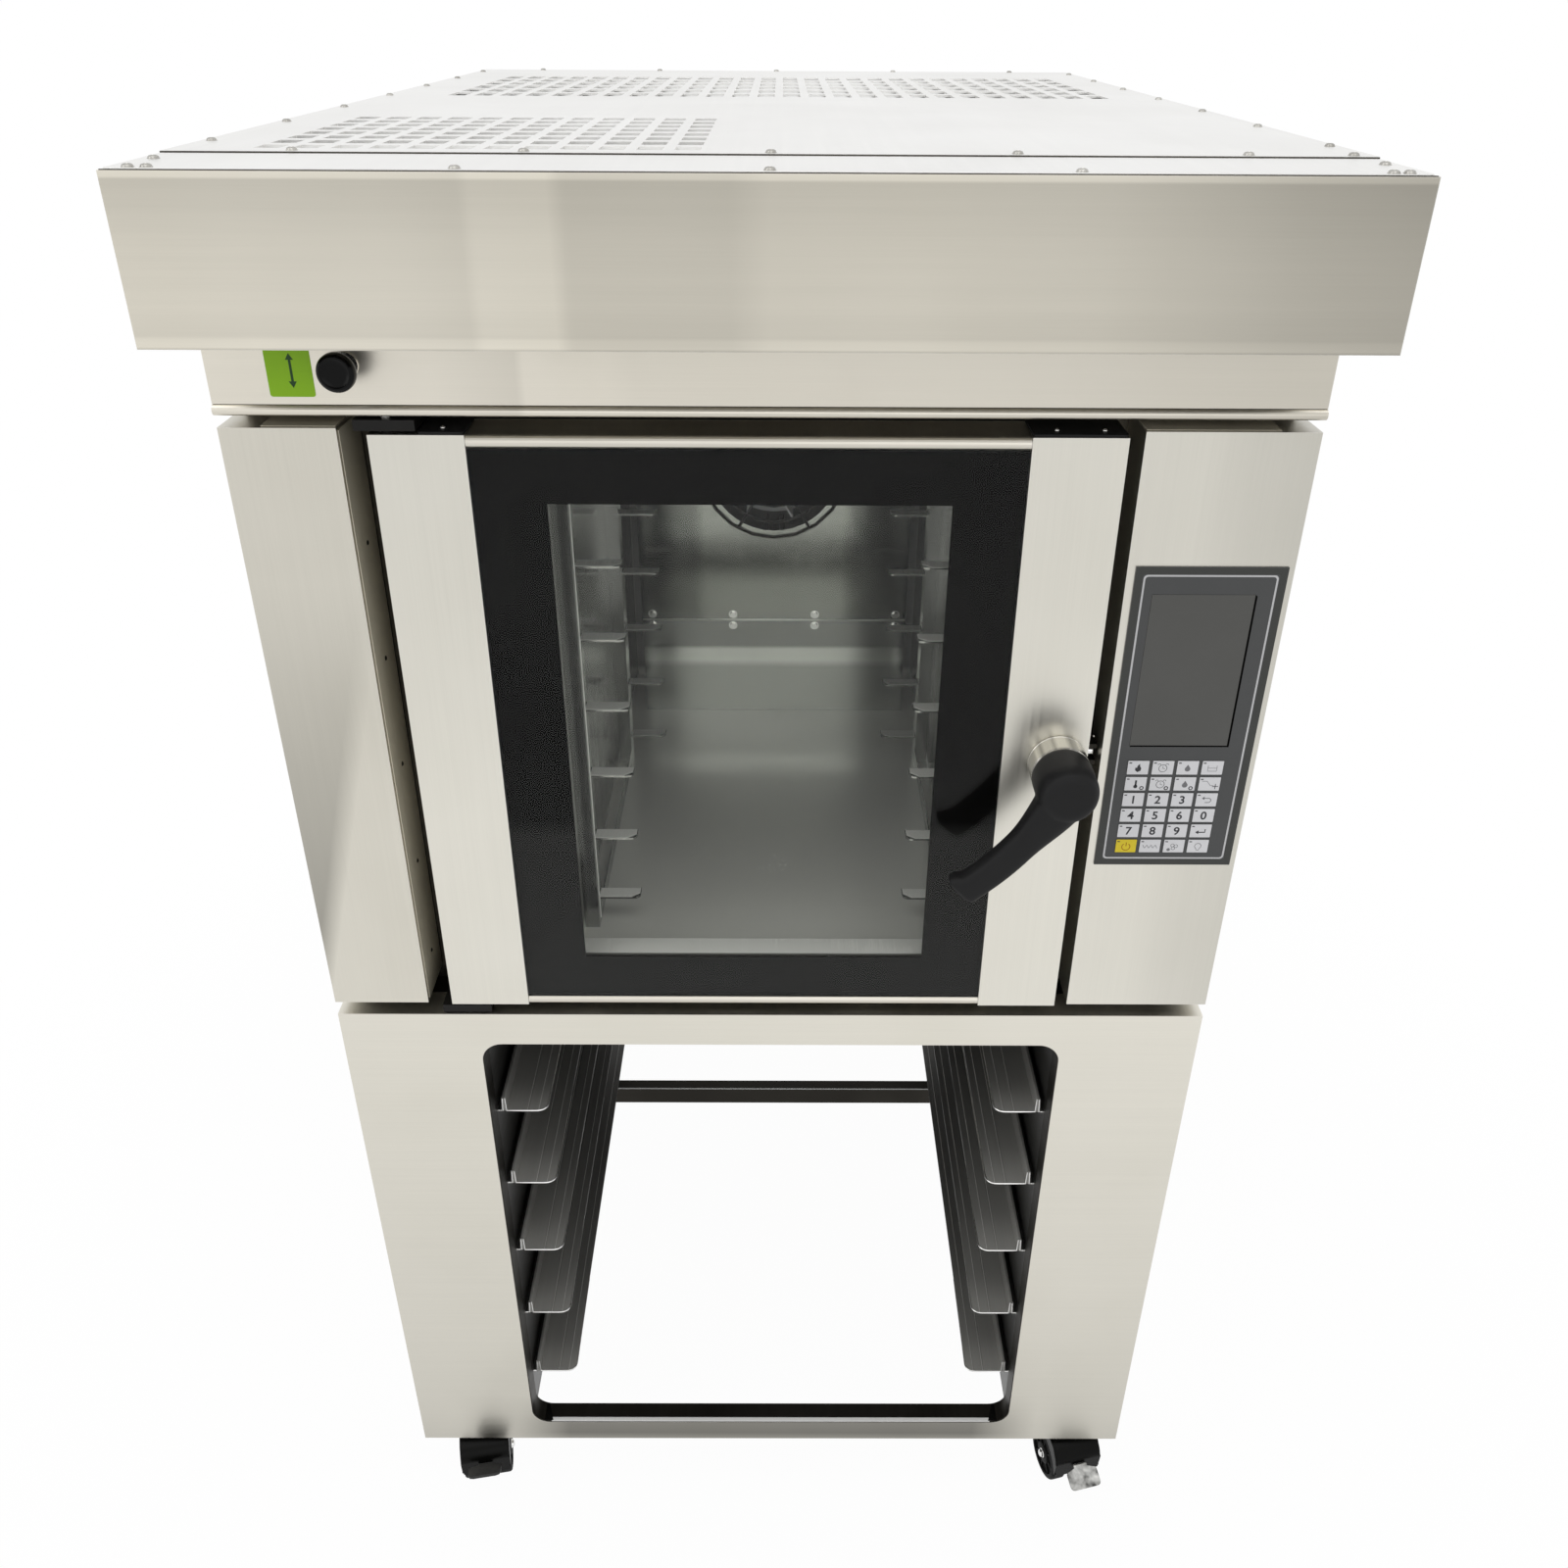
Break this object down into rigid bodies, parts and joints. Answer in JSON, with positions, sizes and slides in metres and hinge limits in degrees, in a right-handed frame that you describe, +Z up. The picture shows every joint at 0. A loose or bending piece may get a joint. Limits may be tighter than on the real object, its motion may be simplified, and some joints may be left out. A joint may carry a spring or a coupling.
{
  "type": "convection oven on tray stand",
  "caption": "Static-rack hot-air tray oven with a windowed door, lever handle, keypad column and steam canopy, standing on an open tray stand with castors",
  "frame": {"origin": "on the floor, under the middle of the object's box", "axes": "+X to the oven's right side as seen from the front, +Y from the door to the back, +Z up"},
  "size_m": [1, 1.54, 1.8],
  "materials": {
    "brushed_steel_panels": "brushed stainless sheet with a fine straight grain",
    "lid_steel": "matt stainless sheet",
    "dark_steel": "dark unlit steel of the stand's inside and frames",
    "polished_steel": "bright rolled stainless",
    "chrome_parts": "bright plated steel",
    "zinc_parts": "zinc plated pressed steel",
    "black_paint": "black powder coat",
    "black_plastic": "black moulded plastic with a fine texture",
    "black_enamel": "black enamel band seen through the glass",
    "castor_tyre": "black tread",
    "seal_rubber": "heat resistant rubber",
    "insulation_wool": "mineral wool",
    "membrane_foil": "grey printed membrane with embossed keys",
    "display_glass": "dark display window",
    "clear_glass": "clear tempered glass"
  },
  "bodies": {
    "cabinet": {"stand_front_panel": "brushed_steel_panels", "stand_left_side": "brushed_steel_panels", "stand_right_side": "brushed_steel_panels", "stand_top_frame": "dark_steel", "stand_mid_rail": "dark_steel", "stand_rear_rail": "dark_steel", "stand_left_rack": "dark_steel", "stand_right_rack": "dark_steel", "oven_base": "dark_steel", "left_side_panel": "brushed_steel_panels", "right_side_panel": "brushed_steel_panels", "rear_panel": "brushed_steel_panels", "top_cover": "lid_steel", "canopy": "brushed_steel_panels", "upper_fascia": "brushed_steel_panels", "ledge_strip": "brushed_steel_panels", "left_column_cover": "brushed_steel_panels", "control_column_cover": "brushed_steel_panels", "front_frame": "dark_steel", "door_gasket": "seal_rubber", "chamber_liner": "polished_steel", "insulation_jacket": "insulation_wool", "fan_baffle": "polished_steel", "lower_baffle": "polished_steel", "fan_guard": "chrome_parts", "fan_motor": "black_paint", "heating_ring": "dark_steel", "left_tray_rack": "polished_steel", "right_tray_rack": "polished_steel", "control_membrane": "membrane_foil", "display_screen": "display_glass", "upper_hinge_bracket": "black_paint", "lower_hinge_bracket": "black_paint", "latch_keeper": "chrome_parts"},
    "door": {"door_hinge_stile": "brushed_steel_panels", "door_latch_stile": "brushed_steel_panels", "door_top_cap": "brushed_steel_panels", "door_bottom_cap": "brushed_steel_panels", "door_outer_glass": "clear_glass", "door_window_mask": "black_enamel", "door_inner_glass": "clear_glass", "door_inner_frame": "polished_steel", "handle_escutcheon": "polished_steel"},
    "handle": {"handle_lever": "black_plastic"},
    "bolt": {"latch_bolt": "chrome_parts"},
    "damper": {"damper_knob": "black_plastic", "damper_rod": "chrome_parts"},
    "fan": {"fan_wheel": "polished_steel", "fan_shaft": "zinc_parts"},
    "castor_fl": {"castor_fork_fl": "black_plastic"},
    "wheel_fl": {"castor_wheel_fl": "castor_tyre"},
    "castor_fr": {"castor_fork_fr": "black_plastic"},
    "wheel_fr": {"castor_wheel_fr": "castor_tyre"},
    "castor_rl": {"castor_fork_rl": "black_plastic"},
    "wheel_rl": {"castor_wheel_rl": "castor_tyre"},
    "castor_rr": {"castor_fork_rr": "black_plastic"},
    "wheel_rr": {"castor_wheel_rr": "castor_tyre"},
    "brake_fl": {"castor_brake_fl": "zinc_parts"},
    "brake_fr": {"castor_brake_fr": "zinc_parts"}
  },
  "joints": [
    {"name": "door_swing", "type": "hinge", "parent": "cabinet", "child": "door", "pos_m": [-0.35, -0.635, 1.235], "axis": [0, 0, -1], "range_deg": [0, 115]},
    {"name": "handle_turn", "type": "hinge", "parent": "door", "child": "handle", "pos_m": [0.295, -0.69, 1.228], "axis": [0, -1, 0], "range_deg": [0, 90]},
    {"name": "bolt_slide", "type": "slide", "parent": "door", "child": "bolt", "axis": [-1, 0, 0], "range_m": [0, 0.01]},
    {"name": "damper_pull", "type": "slide", "parent": "cabinet", "child": "damper", "axis": [0, -1, 0], "range_m": [0, 0.035]},
    {"name": "fan_spin", "type": "hinge", "parent": "cabinet", "child": "fan", "pos_m": [0, 0.084, 1.325], "axis": [0, 1, 0], "continuous": true},
    {"name": "swivel_fl", "type": "hinge", "parent": "cabinet", "child": "castor_fl", "pos_m": [-0.428, -0.585, 0.1], "axis": [0, 0, 1], "continuous": true},
    {"name": "roll_fl", "type": "hinge", "parent": "castor_fl", "child": "wheel_fl", "pos_m": [-0.42175, -0.62045, 0.0375], "axis": [-0.9848, -0.1736, 0], "continuous": true},
    {"name": "brake_press_fl", "type": "hinge", "parent": "castor_fl", "child": "brake_fl", "pos_m": [-0.41328, -0.66851, 0.0655], "axis": [0.9848, 0.1736, 0], "range_deg": [0, 52]},
    {"name": "swivel_fr", "type": "hinge", "parent": "cabinet", "child": "castor_fr", "pos_m": [0.428, -0.585, 0.1], "axis": [0, 0, 1], "continuous": true},
    {"name": "roll_fr", "type": "hinge", "parent": "castor_fr", "child": "wheel_fr", "pos_m": [0.43671, -0.61993, 0.0375], "axis": [-0.9703, -0.2419, 0], "continuous": true},
    {"name": "brake_press_fr", "type": "hinge", "parent": "castor_fr", "child": "brake_fr", "pos_m": [0.44851, -0.66728, 0.0655], "axis": [-0.9703, -0.2419, 0], "range_deg": [0, 52]},
    {"name": "swivel_rl", "type": "hinge", "parent": "cabinet", "child": "castor_rl", "pos_m": [-0.428, 0.7, 0.1], "axis": [0, 0, 1], "continuous": true},
    {"name": "roll_rl", "type": "hinge", "parent": "castor_rl", "child": "wheel_rl", "pos_m": [-0.43114, 0.66414, 0.0375], "axis": [-0.9962, 0.0872, 0], "continuous": true},
    {"name": "swivel_rr", "type": "hinge", "parent": "cabinet", "child": "castor_rr", "pos_m": [0.428, 0.7, 0.1], "axis": [0, 0, 1], "continuous": true},
    {"name": "roll_rr", "type": "hinge", "parent": "castor_rr", "child": "wheel_rr", "pos_m": [0.43301, 0.66435, 0.0375], "axis": [-0.9903, -0.1392, 0], "continuous": true}
  ],
  "couplings": [
    {"joint": "bolt_slide", "follows": "handle_turn", "m_per_rad": 0.0063662}
  ]
}
